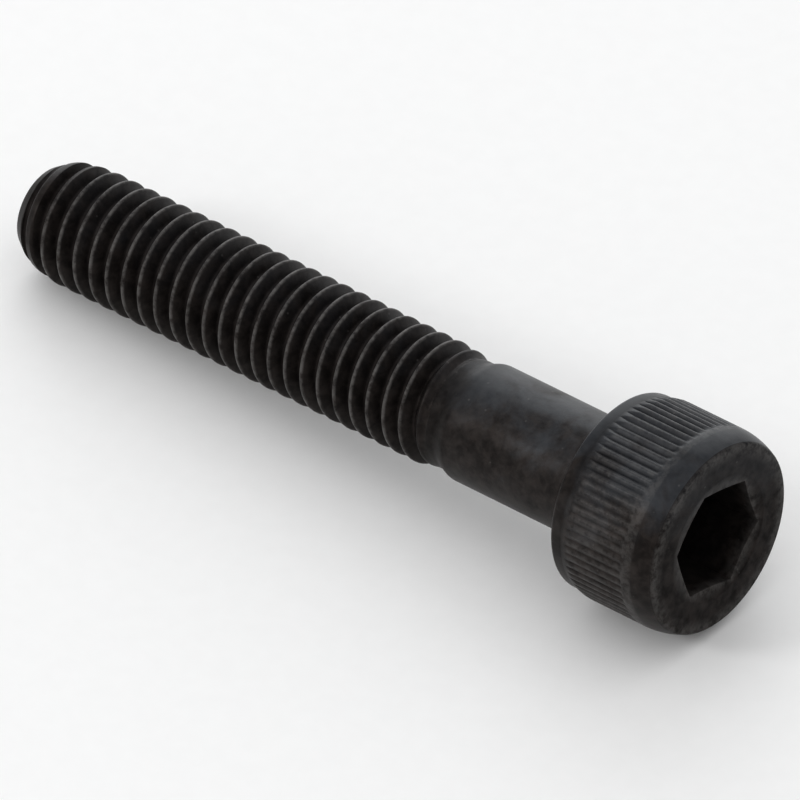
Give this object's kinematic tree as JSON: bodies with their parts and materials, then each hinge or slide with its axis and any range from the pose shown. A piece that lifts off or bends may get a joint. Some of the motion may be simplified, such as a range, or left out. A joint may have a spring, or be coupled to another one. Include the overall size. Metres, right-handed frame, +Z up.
{
  "type": "socket head cap screw",
  "caption": "Steel cap screw with a knurled cylindrical head, hexagon socket, plain shank and a pointed right-hand thread, for clamping parts together.",
  "frame": {"origin": "middle of the footprint, on the flat surface that the screw lies on", "axes": "+X towards the head, with the screw's axis rising 3.5 degrees from the point to the head as it lies; +Z up; +Y across the screw"},
  "size_m": [0.0414, 0.01, 0.0102],
  "materials": {
    "black_oxide_steel": "black oxide, satin, lightly worn on the crests"
  },
  "bodies": {
    "root": {"cap_screw": "black_oxide_steel"}
  },
  "joints": []
}
